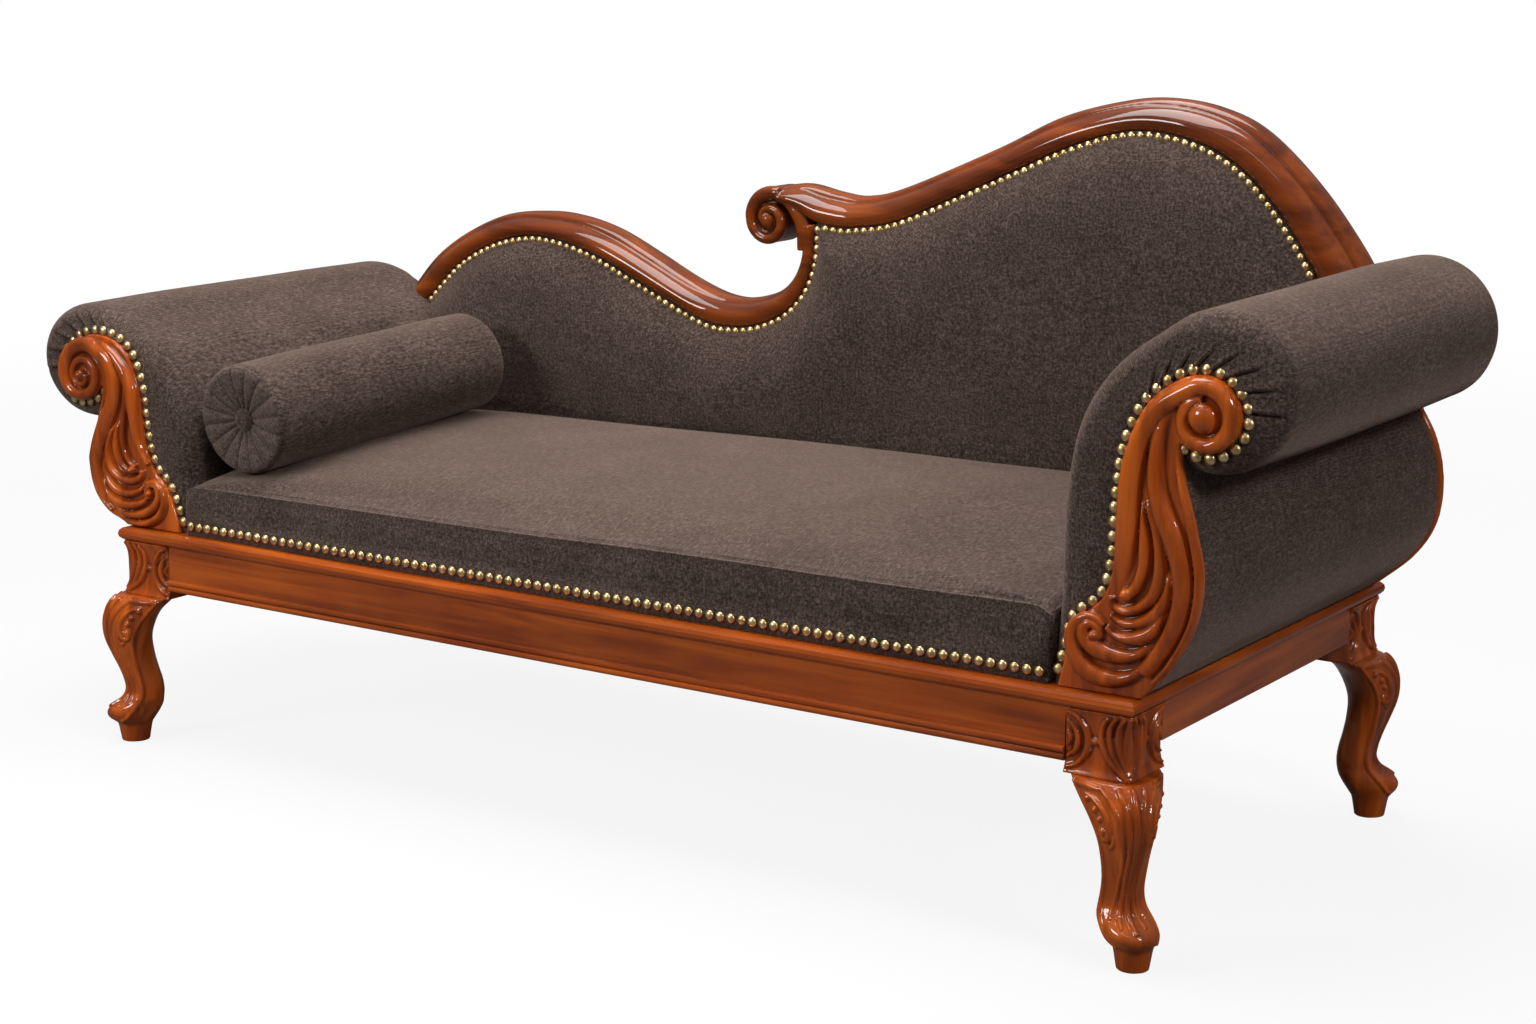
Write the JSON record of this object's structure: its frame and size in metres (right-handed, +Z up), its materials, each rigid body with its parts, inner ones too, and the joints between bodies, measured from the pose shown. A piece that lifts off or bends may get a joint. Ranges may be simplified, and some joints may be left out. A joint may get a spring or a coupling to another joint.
{
  "type": "sofa",
  "caption": "Upholstered sofa with one high end, scrolled arms, serpentine carved crest rail, cabriole legs and a loose round bolster, for sitting or reclining.",
  "frame": {"origin": "on the floor below the middle of the object's bounding box", "axes": "+X along the seat to the high end, -Y to the front where a person sits down, +Z up"},
  "size_m": [2.0143, 0.793, 0.9664],
  "materials": {
    "show_wood": "reddish brown stain under gloss varnish",
    "frame_wood": "bare sawn hardwood",
    "cover_fabric": "dark taupe plain weave",
    "webbing": "natural jute",
    "lining": "black cambric"
  },
  "bodies": {
    "sofa_frame": {"leg_front_left": "show_wood", "leg_front_right": "show_wood", "leg_rear_left": "show_wood", "leg_rear_right": "show_wood", "corner_block_front_left": "show_wood", "corner_block_front_right": "show_wood", "corner_block_rear_left": "show_wood", "corner_block_rear_right": "show_wood", "corner_brace_front_left": "frame_wood", "corner_brace_front_right": "frame_wood", "corner_brace_rear_left": "frame_wood", "corner_brace_rear_right": "frame_wood", "front_rail": "show_wood", "rear_rail": "show_wood", "left_rail": "show_wood", "right_rail": "show_wood", "front_bead": "show_wood", "front_moulding": "show_wood", "rear_moulding": "show_wood", "left_moulding": "show_wood", "right_moulding": "show_wood", "dust_cover": "lining", "seat_strap_1": "webbing", "seat_strap_2": "webbing", "seat_strap_3": "webbing", "seat_strap_4": "webbing", "seat_strap_5": "webbing", "seat_strap_6": "webbing", "seat_tack_strip": "frame_wood", "seat_pad": "cover_fabric", "right_arm_facing": "show_wood", "right_arm_rear_facing": "show_wood", "right_arm_pad": "cover_fabric", "right_arm_front_post": "frame_wood", "right_arm_rear_post": "frame_wood", "right_arm_roll_rail": "frame_wood", "right_arm_base_rail": "frame_wood", "left_arm_facing": "show_wood", "left_arm_rear_facing": "show_wood", "left_arm_pad": "cover_fabric", "left_arm_front_post": "frame_wood", "left_arm_rear_post": "frame_wood", "left_arm_roll_rail": "frame_wood", "left_arm_base_rail": "frame_wood", "low_crest_rail": "show_wood", "high_crest_rail": "show_wood", "back_bottom_rail": "frame_wood", "back_left_stile": "frame_wood", "back_middle_stile": "frame_wood", "back_right_stile": "frame_wood", "back_outside_panel": "cover_fabric", "back_pad": "cover_fabric"},
    "bolster": {"bolster_pad": "cover_fabric", "bolster_button_front": "cover_fabric", "bolster_button_rear": "cover_fabric"}
  },
  "joints": [
    {"name": "bolster_lift", "type": "slide", "parent": "sofa_frame", "child": "bolster", "axis": [0, 0, 1], "range_m": [0, 0.3]}
  ]
}
